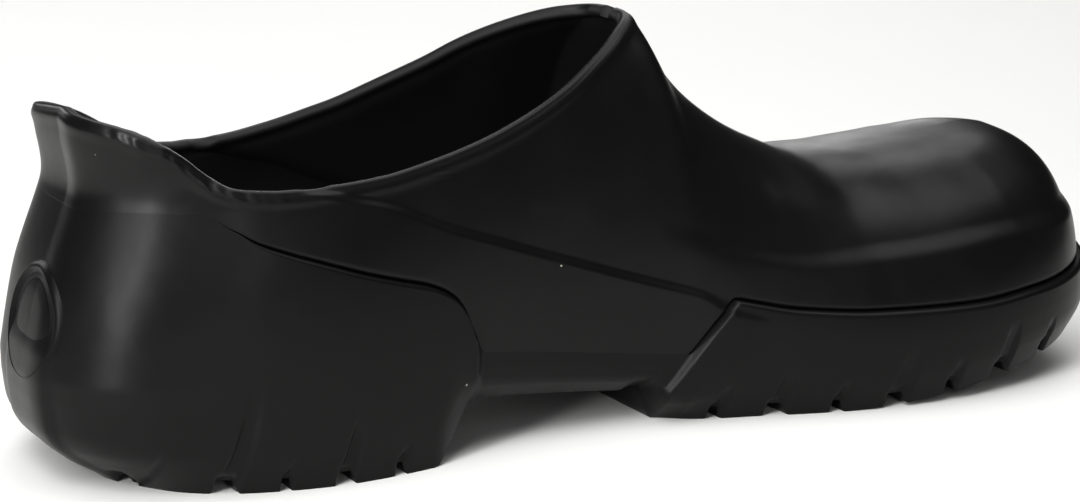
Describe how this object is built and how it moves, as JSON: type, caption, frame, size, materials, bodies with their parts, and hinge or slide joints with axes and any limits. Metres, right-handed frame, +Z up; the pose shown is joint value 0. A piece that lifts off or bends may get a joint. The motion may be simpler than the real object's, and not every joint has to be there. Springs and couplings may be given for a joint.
{
  "type": "kitchen clog",
  "caption": "Left slip-on kitchen clog moulded from polyurethane, with a closed bulged toe cap, a low open collar, a heel block that wraps up the heel and a raised forefoot sole.",
  "frame": {"origin": "middle of the shoe's box on the ground plane", "axes": "+X towards the toe, along the shoe's longest side; +Y towards the outer side of the foot; +Z up"},
  "size_m": [0.2925, 0.1134, 0.1015],
  "materials": {
    "upper_foam": "black polyurethane skin, satin, fine grain",
    "sole_foam": "black polyurethane, slightly more matt than the upper",
    "footbed": "dark textile cover on a foam footbed"
  },
  "bodies": {
    "root": {"upper": "upper_foam", "outsole": "sole_foam", "insole": "footbed"}
  },
  "joints": []
}
